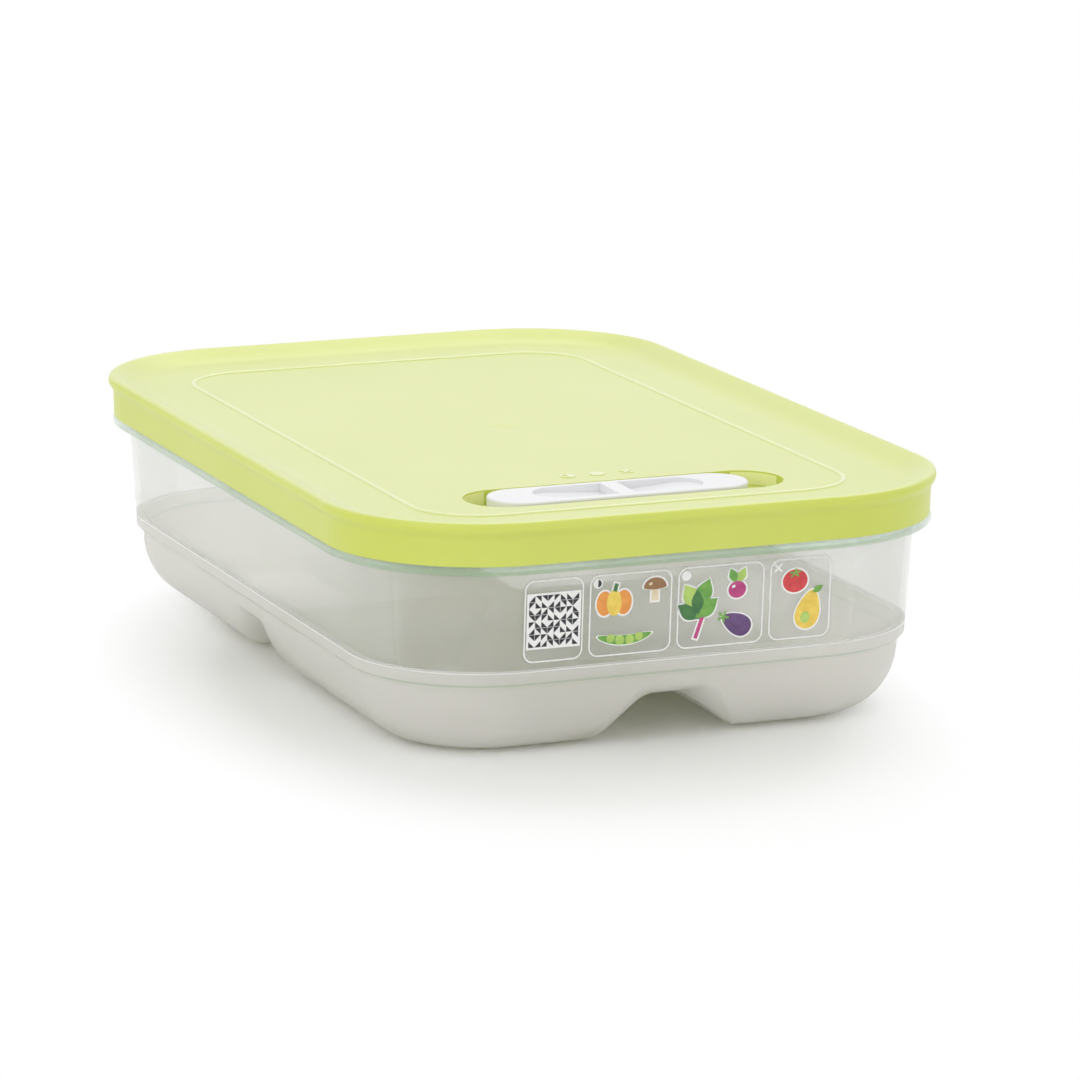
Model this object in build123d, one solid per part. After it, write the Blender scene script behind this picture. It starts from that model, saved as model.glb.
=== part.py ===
from build123d import *
import math
import os

# A low fridge keeper for fruit and vegetables: a translucent tub on four feet, a press-on lid with
# a raised edge, and a sliding air vent let into the lid near one short end. Millimetres, +Z up.
# The origin is on the floor under the middle of the tub. -Y is the short end with the label and
# the vent, and +X is to the right of someone who looks at that end.

# How far a shape that cuts runs past the face that it cuts, and how far joined shapes overlap.
cut_margin = 1.0
weld_overlap = 0.2

# Overall outline, seen from above, of the lid's lip and of the tub's flange.
overall_width = 193.0
overall_length = 293.0
corner_radius = 48.5

# Heights above the floor.
lid_lip_top = 72.8
lid_panel_top = 69.1
skirt_bottom = 59.8
flange_top = 59.5
flange_bottom = 57.0
rim_top = 69.0
step_top = 23.3
step_bottom = 21.2
foot_height = 20.0
foot_depth = 17.0

# The tub's outer face, as distances inwards from the overall outline.
flange_inset = 1.4
rim_inset = 4.3
rim_bead_inset = 3.5
wall_top_inset = 6.7
wall_foot_inset = 8.75
lower_wall_top_inset = 10.7
lower_wall_foot_inset = 10.9

# The tub's wall and rim.
tub_wall = 1.8
rim_wall = 1.9
rim_bead_height = 2.2
rim_bead_low = 1.3
rim_bead_high = 0.55
inner_step_raise = 3.3
inner_shoulder_raise = 0.4
inner_rim_foot_raise = 0.6
flange_edge_round = 0.7

# The channels under the tub, which cross in the middle and leave four feet.
channel_height = 14.0
channel_flat_half = 3.0
channel_ceiling_round = 9.0
channel_side_angle = 38.0
channel_foot_round = 8.0
mouth_round = 14.5
mouth_widening = 0.55
mouth_rise = 0.27
mouth_turn = 80.0
mouth_end_slope = 6.0
mouth_sections = 6
mouth_overshoot = 0.3

# The lid.
lid_panel_wall = 1.6
skirt_inset = 1.5
skirt_draft = 0.2
lip_height = 5.2
lip_bulge_height = 1.7
lip_crest_inset = 1.4
lip_crest_width = 0.6
lip_slope_start = 0.35
lid_slope_end_inset = 14.0
groove_clearance = 0.4
groove_roof_clearance = 0.2
plug_wall = 1.4
plug_bottom = 62.0
stack_bead_inset = 27.7
stack_bead_width = 1.6
stack_bead_height = 0.5
gate_dimple_radius = 6.0
gate_dimple_depth = 0.35
mark_radius = 2.4
mark_line = 0.7
mark_height = 0.2
mark_pitch = 9.6
mark_end_distance = 71.9

# The vent's recess in the lid, and the openings in its floor.
recess_length = 101.6
recess_width = 25.5
recess_end_distance = 49.5
recess_offset = -0.5
recess_floor_wall = 1.5
recess_side_wall = 1.5
vent_window_width = 3.0
vent_window_length = 8.0
vent_window_pitch = 12.0
vent_window_first = 14.0
vent_windows_each_side = 2

# The slider and the pieces that travel with it.
slider_length = 82.7
slider_width = 21.0
slider_rest_offset = -2.05
slider_travel = 8.0
slider_proud = 0.45
slider_wall = 1.2
slider_edge_round = 0.7
slider_floor_clearance = 0.4
finger_well_length = 24.4
finger_well_width = 15.4
finger_well_depth = 2.6
finger_well_end_depth = 0.9
finger_bridge_width = 5.2
seal_thickness = 1.0
seal_lift = 0.1
seal_clearance = 0.3
post_length = 12.0
post_thickness = 2.0
post_spacing = 13.0
post_clearance = 0.3
barb_height = 0.9
barb_overhang = 0.5
keeper_thickness = 1.3
keeper_margin = 2.6
keeper_clearance = 0.3
keeper_post_clearance = 0.05
keeper_window_width = 6.5
keeper_window_corner = 1.5

# The printed film on the short end.
label_width = 98.0
label_height = 25.4
label_bottom = 29.0
label_offset = -1.0
label_thickness = 0.2
label_corner = 3.0

half_width = overall_width / 2
half_length = overall_length / 2
recess_centre_y = recess_end_distance - half_length
mark_centre_y = mark_end_distance - half_length


# Shapes that follow the rounded outline

def closed_face(points):
    """A flat face inside straight lines through points of (distance, height)."""
    return make_face(Polyline(*points, close=True))


def outline_plane(half_depth, start):
    """The plane in which a profile's first axis runs inwards and its second runs up."""
    return Plane(origin=(half_depth, start, 0), x_dir=(-1, 0, 0), z_dir=(0, 1, 0))


def follow_outline(profile, core=None):
    """Carries a profile of (inset, height) round the outline; core is (low, high) of the middle."""
    run_x = half_width - corner_radius
    run_y = half_length - corner_radius
    long_side = extrude(outline_plane(half_width, -run_y) * profile, 2 * run_y)
    short_side = extrude(outline_plane(half_length, -run_x) * profile, 2 * run_x)
    axis = Axis((run_x, run_y, 0), (0, 0, 1))
    corner = revolve(outline_plane(half_width, run_y) * profile, axis, 90)
    corner_pair = corner + mirror(corner, Plane.YZ)
    solid = long_side + Rot(0, 0, 180) * long_side
    solid += [Rot(0, 0, 90) * short_side, Rot(0, 0, -90) * short_side]
    solid += corner_pair + mirror(corner_pair, Plane.XZ)
    if core:
        low, high = core
        solid += Pos(0, 0, (low + high) / 2) * Box(2 * run_x, 2 * run_y, high - low)
    return solid


# The tub

def tub_profile(inside):
    """The tub's outer face, or its inner face one wall further in, down to the middle axis."""
    wall = tub_wall if inside else 0.0
    floor = wall
    foot_centre = (lower_wall_foot_inset + foot_depth, foot_height)
    foot_arc = EllipticalCenterArc(foot_centre, foot_depth - wall, foot_height - wall, 180, arc_size=90)
    edges = [foot_arc]
    raise_by = inner_step_raise if inside else 0.0
    climb = [
        (lower_wall_foot_inset + wall, foot_height),
        (lower_wall_top_inset + wall, step_bottom + raise_by),
        (wall_foot_inset + wall, step_top + raise_by),
    ]
    if inside:
        climb += [
            (wall_top_inset + wall, flange_bottom + inner_shoulder_raise),
            (rim_inset + rim_wall, flange_top + inner_rim_foot_raise),
            (rim_inset + rim_wall, rim_top + cut_margin),
            (corner_radius, rim_top + cut_margin),
        ]
    else:
        climb += [
            (wall_top_inset, flange_bottom),
            (flange_inset + flange_edge_round, flange_bottom),
            (flange_inset, flange_bottom + flange_edge_round),
            (flange_inset, flange_top - flange_edge_round / 2),
            (flange_inset + flange_edge_round / 2, flange_top),
            (rim_inset, flange_top),
            (rim_inset, rim_top - rim_bead_height),
            (rim_bead_inset, rim_top - rim_bead_low),
            (rim_bead_inset, rim_top - rim_bead_high),
            (rim_inset, rim_top),
            (corner_radius, rim_top),
        ]
    edges.append(Polyline(*climb, (corner_radius, floor), (foot_centre[0], floor)))
    return make_face(edges)


def arch_face(opening, wall):
    """Half-round-shouldered arch of a channel, opened out by opening and thickened by wall."""
    angle = math.radians(channel_side_angle)
    flat = channel_flat_half + mouth_widening * opening
    top = channel_height + mouth_rise * opening
    ceiling = channel_ceiling_round + wall
    foot = channel_foot_round - wall
    shoulder = (
        flat + ceiling * math.sin(angle),
        top - channel_ceiling_round + ceiling * math.cos(angle),
    )
    knee_z = channel_foot_round - foot * math.cos(angle)
    bare_x = flat + channel_ceiling_round * math.sin(angle)
    bare_z = top - channel_ceiling_round * (1 - math.cos(angle))
    bare_knee_z = channel_foot_round * (1 - math.cos(angle))
    foot_x = bare_x + (bare_z - bare_knee_z) / math.tan(angle) + channel_foot_round * math.sin(angle)
    knee = (foot_x - foot * math.sin(angle), knee_z)
    below = -cut_margin
    turn = channel_side_angle
    right = [
        CenterArc((flat, top - channel_ceiling_round), ceiling, 90 - turn, turn),
        Line(shoulder, knee),
        CenterArc((foot_x, channel_foot_round), foot, 270 - turn, turn),
        Line((foot_x, wall), (foot_x, below)),
    ]
    left = [mirror(edge, Plane.YZ) for edge in right]
    roof = Line((-flat, top + wall), (flat, top + wall))
    base = Line((-foot_x, below), (foot_x, below))
    return make_face([roof, base] + right + left)


def channel(half_depth, wall):
    """One channel's space along +Y and -Y, flared at both mouths; wall makes the hump over it."""
    middle = half_depth - lower_wall_foot_inset - mouth_round
    straight = extrude(Plane.XZ.offset(-middle) * arch_face(0, wall), 2 * middle)
    flare = []
    for k in range(mouth_sections):
        angle = math.radians(mouth_turn) * k / (mouth_sections - 1)
        flare.append((mouth_round * math.sin(angle), mouth_round * (1 - math.cos(angle))))
    last_out, last_opening = flare[-1]
    end = mouth_round + lower_wall_foot_inset - lower_wall_top_inset + mouth_overshoot
    flare.append((end, last_opening + (end - last_out) * mouth_end_slope))
    sections = [Plane.XZ.offset(-(middle + out)) * arch_face(opening, wall) for out, opening in flare]
    mouth = loft(sections)
    return straight + mouth + mirror(mouth, Plane.XZ)


def make_tub():
    """The tub in one moulding: feet, channels, step, flange and rim."""
    outer = follow_outline(tub_profile(False), (0, rim_top))
    inner = follow_outline(tub_profile(True), (tub_wall, rim_top + cut_margin))
    long_channel = channel(half_length, 0)
    cross_channel = Rot(0, 0, 90) * channel(half_width, 0)
    long_hump = channel(half_length, tub_wall)
    cross_hump = Rot(0, 0, 90) * channel(half_width, tub_wall)
    cavity = inner - long_hump - cross_hump
    return outer - long_channel - cross_channel - cavity


# The lid

def lid_top_profile():
    """The lid's outside: skirt, lip and the slope down to the panel."""
    skirt_foot = (skirt_inset + skirt_draft, skirt_bottom)
    lip_foot = (skirt_inset, lid_lip_top - lip_height)
    bulge = (0.0, lid_lip_top - lip_bulge_height)
    crest = (lip_crest_inset, lid_lip_top)
    brink = (lip_crest_inset + lip_crest_width, lid_lip_top)
    slope_end = (lid_slope_end_inset, lid_panel_top)
    panel_middle = (corner_radius, lid_panel_top)
    under_middle = (corner_radius, skirt_bottom)
    edges = [
        Polyline(panel_middle, under_middle, skirt_foot, lip_foot),
        Spline(lip_foot, bulge, tangents=[(0, 1), (0, 1)]),
        Spline(bulge, crest, tangents=[(0, 1), (1, 0)]),
        Line(crest, brink),
        Spline(brink, slope_end, tangents=[(1, -lip_slope_start), (1, 0)]),
        Line(slope_end, panel_middle),
    ]
    return make_face(edges)


def lid_under_profile():
    """The space inside the lid: the groove for the tub's rim and the hollow under the panel."""
    groove_out = rim_bead_inset - groove_clearance
    groove_in = rim_inset + rim_wall + groove_clearance
    roof = rim_top + groove_roof_clearance
    under_panel = lid_panel_top - lid_panel_wall
    below = skirt_bottom - cut_margin
    return closed_face(
        [
            (corner_radius, below),
            (groove_out, below),
            (groove_out, roof),
            (groove_in, roof),
            (groove_in, plug_bottom),
            (groove_in + plug_wall, plug_bottom),
            (groove_in + plug_wall, under_panel),
            (corner_radius, under_panel),
        ]
    )


def stack_bead():
    """The fine raised line round the panel that the feet of a keeper on top sit inside."""
    outer = (stack_bead_inset - stack_bead_width / 2, lid_panel_top)
    crest = (stack_bead_inset, lid_panel_top + stack_bead_height)
    inner = (stack_bead_inset + stack_bead_width / 2, lid_panel_top)
    root = lid_panel_top - lid_panel_wall / 2
    edges = [
        ThreePointArc(outer, crest, inner),
        Polyline(inner, (inner[0], root), (outer[0], root), outer),
    ]
    return follow_outline(make_face(edges))


def state_marks():
    """Raised marks behind the vent for its three states: half open, open and closed."""
    ring = Circle(mark_radius) - Circle(mark_radius - mark_line)
    half = ring + Circle(mark_radius) - Pos(-mark_radius, 0) * Rectangle(2 * mark_radius, 2 * mark_radius)
    bar = Rectangle(2 * mark_radius, mark_line)
    marks = [ring + half, Circle(mark_radius), Rot(0, 0, 45) * bar + Rot(0, 0, -45) * bar]
    low = lid_panel_top - mark_height
    places = [Pos((k - 1) * mark_pitch, mark_centre_y, low) for k in range(len(marks))]
    return [place * extrude(mark, 2 * mark_height) for place, mark in zip(places, marks)]


def vent_place(x, z):
    """A place in the vent, x along the slider's travel from the recess's middle."""
    return Pos(recess_offset + x, recess_centre_y, z)


slider_top = lid_panel_top + slider_proud
well_bottom = slider_top - finger_well_depth
seal_top = well_bottom - slider_wall
seal_bottom = seal_top - seal_thickness
recess_floor_top = seal_bottom - seal_lift
recess_floor_bottom = recess_floor_top - recess_floor_wall


def stadium(length, width, low, high):
    """An upright plate with round ends between two heights, centred on the recess."""
    return vent_place(0, low) * extrude(SlotOverall(length, width), high - low)


def make_lid():
    """The lid with its skirt, plug, stacking bead, gate dimple and vent recess."""
    body = follow_outline(lid_top_profile(), (skirt_bottom, lid_panel_top))
    under_panel = lid_panel_top - lid_panel_wall
    body -= follow_outline(lid_under_profile(), (skirt_bottom - cut_margin, under_panel))
    body += stack_bead()
    body += state_marks()
    pan_length = recess_length + 2 * recess_side_wall
    pan_width = recess_width + 2 * recess_side_wall
    body += stadium(pan_length, pan_width, recess_floor_bottom, under_panel + weld_overlap)
    body -= stadium(recess_length, recess_width, recess_floor_top, lid_panel_top + cut_margin)
    through = recess_floor_wall + 2 * cut_margin
    middle = recess_floor_top - recess_floor_wall / 2
    for side in (-1, 1):
        for k in range(vent_windows_each_side):
            x = side * (vent_window_first + k * vent_window_pitch)
            window = Box(vent_window_width, vent_window_length, through)
            body -= vent_place(x, middle) * window
        slot_length = post_length + slider_travel + 2 * post_clearance
        slot_width = post_thickness + 2 * post_clearance
        slot_x = slider_rest_offset + slider_travel / 2
        slot = Box(slot_length, slot_width, through)
        body -= Pos(0, side * post_spacing / 2, 0) * vent_place(slot_x, middle) * slot
    ball = (gate_dimple_radius**2 + gate_dimple_depth**2) / (2 * gate_dimple_depth)
    body -= Pos(0, 0, lid_panel_top - gate_dimple_depth + ball) * Sphere(ball)
    return body


# The vent's moving pieces

slider_bottom = recess_floor_top + slider_floor_clearance
keeper_top = recess_floor_bottom - keeper_clearance
keeper_bottom = keeper_top - keeper_thickness


def finger_wells(wall, high):
    """The wells each side of the bridge, which ramp up outwards; wall makes their shells' space."""
    half_bridge = finger_bridge_width / 2 - wall
    end = finger_bridge_width / 2 + finger_well_length + wall
    deep = well_bottom - wall
    shallow = slider_top - finger_well_end_depth - wall
    plan = extrude(SlotOverall(2 * end, finger_well_width + 2 * wall), high - seal_top)
    plan = Pos(0, 0, seal_top) * plan
    side = closed_face([(half_bridge, deep), (end, shallow), (end, high), (half_bridge, high)])
    ramp = extrude(Plane.XZ * side, finger_well_width, both=True)
    wells = plan & (ramp + mirror(ramp, Plane.YZ))
    return vent_place(slider_rest_offset, 0) * wells


def slider_posts(length, thickness, low, high):
    """Two flat posts, one in each guide slot."""
    posts = []
    for side in (-1, 1):
        place = Pos(0, side * post_spacing / 2, 0) * vent_place(slider_rest_offset, (low + high) / 2)
        posts.append(place * Box(length, thickness, high - low))
    return posts


def make_slider():
    """The white slider: a shallow shell with two finger wells and two barbed posts."""
    height = slider_top - slider_bottom
    plate = extrude(SlotOverall(slider_length, slider_width), height)
    plate = fillet(plate.edges().group_by(Axis.Z)[-1], slider_edge_round)
    body = vent_place(slider_rest_offset, slider_bottom) * plate
    inside_length = slider_length - 2 * slider_wall
    inside_width = slider_width - 2 * slider_wall
    hollow = extrude(SlotOverall(inside_length, inside_width), height - slider_wall)
    body -= vent_place(slider_rest_offset, slider_bottom) * hollow
    body += finger_wells(slider_wall, slider_top - slider_edge_round)
    body += slider_posts(post_length, post_thickness, keeper_bottom, slider_top - slider_wall / 2)
    body -= finger_wells(0, slider_top + cut_margin)
    barb_thickness = post_thickness + 2 * barb_overhang
    body += slider_posts(post_length, barb_thickness, keeper_bottom - barb_height, keeper_bottom)
    return body


def make_seal():
    """The soft seal under the slider, with slots that come over the lid's windows as it travels."""
    length = slider_length - 2 * slider_wall - 2 * seal_clearance
    width = slider_width - 2 * slider_wall - 2 * seal_clearance
    pad = extrude(SlotOverall(length, width), seal_thickness)
    body = vent_place(slider_rest_offset, seal_bottom) * pad
    middle = seal_bottom + seal_thickness / 2
    half_step = slider_travel / 2
    for side in (-1, 1):
        for k in range(vent_windows_each_side):
            window_x = side * (vent_window_first + k * vent_window_pitch)
            opens_at_half = side < 0
            shift = (half_step + slider_travel) / 2 if opens_at_half else slider_travel
            slot_width = vent_window_width + (half_step if opens_at_half else 0.0)
            slot = Box(slot_width, vent_window_length, 2 * seal_thickness)
            body -= vent_place(window_x - shift, middle) * slot
    gap = 2 * post_clearance
    low = seal_bottom - cut_margin
    high = seal_top + cut_margin
    return body - slider_posts(post_length + gap, post_thickness + gap, low, high)


def make_keeper():
    """The clip under the lid that the slider's posts snap through."""
    length = post_length + 2 * keeper_margin
    width = post_spacing + post_thickness + 2 * keeper_margin
    plate = extrude(RectangleRounded(length, width, keeper_margin), keeper_thickness)
    plate = vent_place(slider_rest_offset, keeper_bottom) * plate
    gap = 2 * keeper_post_clearance
    low = keeper_bottom - cut_margin
    high = keeper_top + cut_margin
    holes = slider_posts(post_length + gap, post_thickness + gap, low, high)
    window = RectangleRounded(post_length, keeper_window_width, keeper_window_corner)
    window = vent_place(slider_rest_offset, low) * extrude(window, high - low)
    return plate - holes - window


# The label film

def make_label():
    """A clear film that carries the print, flat on the tub's end wall."""
    rise = flange_bottom - step_top
    lean = math.atan2(wall_foot_inset - wall_top_inset, rise)
    middle = label_bottom + label_height / 2
    inset = wall_foot_inset - (middle - step_top) / rise * (wall_foot_inset - wall_top_inset)
    face = Plane(
        origin=(label_offset, -half_length + inset, middle),
        x_dir=(1, 0, 0),
        z_dir=(0, -math.cos(lean), -math.sin(lean)),
    )
    film = RectangleRounded(label_width, label_height / math.cos(lean), label_corner)
    return extrude(face * film, label_thickness)


def main():
    """Builds each piece and writes it to parts under the name of its node."""
    os.makedirs("parts", exist_ok=True)
    pieces = {
        "tub": make_tub(),
        "lid": make_lid(),
        "vent_slider": make_slider(),
        "vent_seal": make_seal(),
        "vent_keeper": make_keeper(),
        "storage_label": make_label(),
    }
    for name, piece in pieces.items():
        solids = piece.solids()
        export_step(Compound(children=list(solids)), f"parts/{name}.step")
        print(name, "solids", len(solids), "volume", round(sum(s.volume for s in solids)))


main()
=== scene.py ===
"""The fridge keeper dressed for its photograph: moulded plastics, a printed label and a white studio."""
import logging
import math
from dataclasses import dataclass
from enum import Enum
from typing import Callable, Iterable, Sequence

import bpy
from mathutils import Matrix, Vector


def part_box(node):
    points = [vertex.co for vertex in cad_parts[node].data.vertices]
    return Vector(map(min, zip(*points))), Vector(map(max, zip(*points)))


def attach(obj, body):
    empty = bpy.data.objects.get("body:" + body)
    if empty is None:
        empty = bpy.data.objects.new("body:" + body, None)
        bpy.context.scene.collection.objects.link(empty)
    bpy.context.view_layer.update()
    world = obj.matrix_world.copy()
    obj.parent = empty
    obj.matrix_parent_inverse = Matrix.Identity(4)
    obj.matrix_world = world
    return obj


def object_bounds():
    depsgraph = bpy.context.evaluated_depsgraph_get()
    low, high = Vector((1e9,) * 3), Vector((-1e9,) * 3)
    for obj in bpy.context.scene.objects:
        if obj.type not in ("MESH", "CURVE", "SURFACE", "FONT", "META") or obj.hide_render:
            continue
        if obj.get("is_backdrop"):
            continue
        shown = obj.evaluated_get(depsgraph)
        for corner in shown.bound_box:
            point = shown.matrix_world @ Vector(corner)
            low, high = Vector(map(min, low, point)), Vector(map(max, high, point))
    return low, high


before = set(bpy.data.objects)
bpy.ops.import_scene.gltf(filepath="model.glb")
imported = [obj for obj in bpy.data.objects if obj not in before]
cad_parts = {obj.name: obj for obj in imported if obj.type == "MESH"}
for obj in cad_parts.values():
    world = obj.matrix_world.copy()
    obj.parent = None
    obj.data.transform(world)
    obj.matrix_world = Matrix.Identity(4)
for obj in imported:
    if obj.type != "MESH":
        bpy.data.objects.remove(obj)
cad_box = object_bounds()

log = logging.getLogger("keeper")

Colour = tuple[float, float, float]
Point = tuple[float, float]

MM = 0.001
PLASTIC_IOR = 1.5
MERGE_DISTANCE = 0.001 * MM
FRAME_CORNER_STEPS = 8


# Working with Blender's operators


def deselect_all() -> None:
    """Leaves nothing selected, so that the next operator acts on the new piece alone."""
    bpy.ops.object.select_all(action="DESELECT")


def select_only(objects: Sequence[bpy.types.Object]) -> None:
    """Selects some objects and makes the first one active.

    Args:
        objects: The objects to select.
    """
    deselect_all()
    for obj in objects:
        obj.select_set(True)
    bpy.context.view_layer.objects.active = objects[0]


def settle(obj: bpy.types.Object, placement: Matrix) -> None:
    """Moves a finished mesh into place and leaves its object at the origin.

    Args:
        obj: The object to place.
        placement: Where its own axes go in the keeper's frame.
    """
    obj.matrix_world = placement
    select_only([obj])
    bpy.ops.object.transform_apply(location=True, rotation=True, scale=True)


def join(pieces: Sequence[bpy.types.Object], name: str) -> bpy.types.Object:
    """Joins several meshes into one piece.

    Args:
        pieces: The meshes, at least one.
        name: The piece's name.

    Returns:
        The joined object.
    """
    select_only(pieces)
    if len(pieces) > 1:
        bpy.ops.object.join()
    joined = bpy.context.view_layer.objects.active
    joined.name = name
    joined.data.name = name
    return joined


# Shader nodes


class Graph:
    """A short way to add and link the nodes of one node tree."""

    def __init__(self, tree: bpy.types.NodeTree) -> None:
        """Starts on an emptied tree.

        Args:
            tree: The node tree to fill.
        """
        self.tree = tree
        tree.nodes.clear()

    def add(self, kind: str, **settings: object) -> bpy.types.Node:
        """Adds a node.

        Args:
            kind: The node's Blender type.
            **settings: Attributes to set on it.

        Returns:
            The new node.
        """
        node = self.tree.nodes.new(kind)
        for key, value in settings.items():
            setattr(node, key, value)
        return node

    def link(self, source: bpy.types.NodeSocket, target: bpy.types.NodeSocket) -> None:
        """Links an output to an input.

        Args:
            source: The output.
            target: The input.
        """
        self.tree.links.new(source, target)

    def calculate(self, operation: str, first: object, second: object = 0.0) -> bpy.types.NodeSocket:
        """Adds a Math node.

        Args:
            operation: The Math node's operation.
            first: A socket or a number.
            second: A socket or a number.

        Returns:
            The result's socket.
        """
        node = self.add("ShaderNodeMath", operation=operation)
        for value, target in zip((first, second), node.inputs):
            if isinstance(value, bpy.types.NodeSocket):
                self.link(value, target)
            else:
                target.default_value = value
        return node.outputs[0]

    def blend(self, mask: bpy.types.NodeSocket, low: object, high: object) -> bpy.types.NodeSocket:
        """Mixes two colours by a mask.

        Args:
            mask: The socket that is 0 for low and 1 for high.
            low: A colour or a socket.
            high: A colour or a socket.

        Returns:
            The mixed colour's socket.
        """
        node = self.add("ShaderNodeMix", data_type="RGBA")
        self.link(mask, node.inputs["Factor"])
        for value, target in ((low, node.inputs[6]), (high, node.inputs[7])):
            if isinstance(value, bpy.types.NodeSocket):
                self.link(value, target)
            else:
                target.default_value = (*value, 1.0)
        return node.outputs[2]

    def spread(self, value: bpy.types.NodeSocket, span: Point, result: Point) -> bpy.types.NodeSocket:
        """Maps a value from one range to another, held at both ends.

        Args:
            value: The socket to map.
            span: The range that comes in.
            result: The range that goes out.

        Returns:
            The mapped value's socket.
        """
        node = self.add("ShaderNodeMapRange", clamp=True)
        self.link(value, node.inputs["Value"])
        names = ("From Min", "From Max", "To Min", "To Max")
        for name, number in zip(names, (*span, *result)):
            node.inputs[name].default_value = number
        return node.outputs["Result"]


class SharedEffect(Enum):
    """The effects that more than one finish uses, each a node group built once."""

    MOULD_GRAIN = "mould_grain"
    TONE_DRIFT = "tone_drift"
    GLOSS_DRIFT = "gloss_drift"
    HEIGHT_MASK = "height_mask"

    def group(self) -> bpy.types.NodeTree:
        """Gives the effect's node group, and builds it the first time."""
        found = bpy.data.node_groups.get(self.value)
        return found if found else EFFECT_BUILDERS[self]()

    def place(self, graph: Graph, **values: object) -> bpy.types.NodeSocket:
        """Places the effect in a material.

        Args:
            graph: The material's graph.
            **values: The group's inputs, by name with underscores for spaces.

        Returns:
            The group's output socket.
        """
        node = graph.add("ShaderNodeGroup", node_tree=self.group())
        for key, value in values.items():
            node.inputs[key.replace("_", " ")].default_value = value
        return node.outputs[0]


def start_group(effect: SharedEffect, inputs: Sequence[tuple[str, str]], output: tuple[str, str]) -> Graph:
    """Makes a node group's tree with its sockets and its group nodes.

    Args:
        effect: The effect that the group is for.
        inputs: Name and socket type of each input.
        output: Name and socket type of the output.

    Returns:
        A graph on the tree, whose nodes include the group's input and output.
    """
    tree = bpy.data.node_groups.new(effect.value, "ShaderNodeTree")
    for name, kind in inputs:
        tree.interface.new_socket(name=name, in_out="INPUT", socket_type=kind)
    tree.interface.new_socket(name=output[0], in_out="OUTPUT", socket_type=output[1])
    graph = Graph(tree)
    graph.add("NodeGroupInput", name="given")
    graph.add("NodeGroupOutput", name="result")
    return graph


def object_noise(graph: Graph, detail: float) -> bpy.types.Node:
    """Adds a noise on Object coordinates whose scale is the group's Scale input.

    Args:
        graph: The group's graph.
        detail: The noise's octaves.

    Returns:
        The noise node.
    """
    place = graph.add("ShaderNodeTexCoord")
    noise = graph.add("ShaderNodeTexNoise")
    noise.inputs["Detail"].default_value = detail
    graph.link(place.outputs["Object"], noise.inputs["Vector"])
    graph.link(graph.tree.nodes["given"].outputs["Scale"], noise.inputs["Scale"])
    return noise


def build_mould_grain() -> bpy.types.NodeTree:
    """Builds the fine unevenness of moulded plastic, as a height."""
    inputs = [("Scale", "NodeSocketFloat")]
    graph = start_group(SharedEffect.MOULD_GRAIN, inputs, ("Height", "NodeSocketFloat"))
    noise = object_noise(graph, detail=3.0)
    graph.link(noise.outputs["Fac"], graph.tree.nodes["result"].inputs["Height"])
    return graph.tree


def build_tone_drift() -> bpy.types.NodeTree:
    """Builds a slow drift between two colours, as pigment makes in a moulding."""
    inputs = [
        ("Scale", "NodeSocketFloat"),
        ("Low", "NodeSocketColor"),
        ("High", "NodeSocketColor"),
    ]
    graph = start_group(SharedEffect.TONE_DRIFT, inputs, ("Colour", "NodeSocketColor"))
    noise = object_noise(graph, detail=2.0)
    noise_span = (0.3, 0.7)
    mask = graph.spread(noise.outputs["Fac"], noise_span, (0.0, 1.0))
    given = graph.tree.nodes["given"]
    mixed = graph.blend(mask, given.outputs["Low"], given.outputs["High"])
    graph.link(mixed, graph.tree.nodes["result"].inputs["Colour"])
    return graph.tree


def build_gloss_drift() -> bpy.types.NodeTree:
    """Builds a slow drift between two roughnesses, as handling leaves on plastic."""
    inputs = [
        ("Scale", "NodeSocketFloat"),
        ("Low", "NodeSocketFloat"),
        ("High", "NodeSocketFloat"),
    ]
    graph = start_group(SharedEffect.GLOSS_DRIFT, inputs, ("Roughness", "NodeSocketFloat"))
    noise = object_noise(graph, detail=4.0)
    given = graph.tree.nodes["given"]
    span = graph.calculate("SUBTRACT", given.outputs["High"], given.outputs["Low"])
    step = graph.calculate("MULTIPLY", noise.outputs["Fac"], span)
    total = graph.calculate("ADD", given.outputs["Low"], step)
    graph.link(total, graph.tree.nodes["result"].inputs["Roughness"])
    return graph.tree


def build_height_mask() -> bpy.types.NodeTree:
    """Builds a mask that goes from 0 at one height above the floor to 1 at another."""
    inputs = [("Low", "NodeSocketFloat"), ("High", "NodeSocketFloat")]
    graph = start_group(SharedEffect.HEIGHT_MASK, inputs, ("Mask", "NodeSocketFloat"))
    place = graph.add("ShaderNodeTexCoord")
    axes = graph.add("ShaderNodeSeparateXYZ")
    graph.link(place.outputs["Object"], axes.inputs[0])
    mask = graph.add("ShaderNodeMapRange", clamp=True, interpolation_type="SMOOTHSTEP")
    given = graph.tree.nodes["given"]
    graph.link(axes.outputs["Z"], mask.inputs["Value"])
    graph.link(given.outputs["Low"], mask.inputs["From Min"])
    graph.link(given.outputs["High"], mask.inputs["From Max"])
    graph.link(mask.outputs["Result"], graph.tree.nodes["result"].inputs["Mask"])
    return graph.tree


EFFECT_BUILDERS: dict[SharedEffect, Callable[[], bpy.types.NodeTree]] = {
    SharedEffect.MOULD_GRAIN: build_mould_grain,
    SharedEffect.TONE_DRIFT: build_tone_drift,
    SharedEffect.GLOSS_DRIFT: build_gloss_drift,
    SharedEffect.HEIGHT_MASK: build_height_mask,
}


# Finishes


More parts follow.
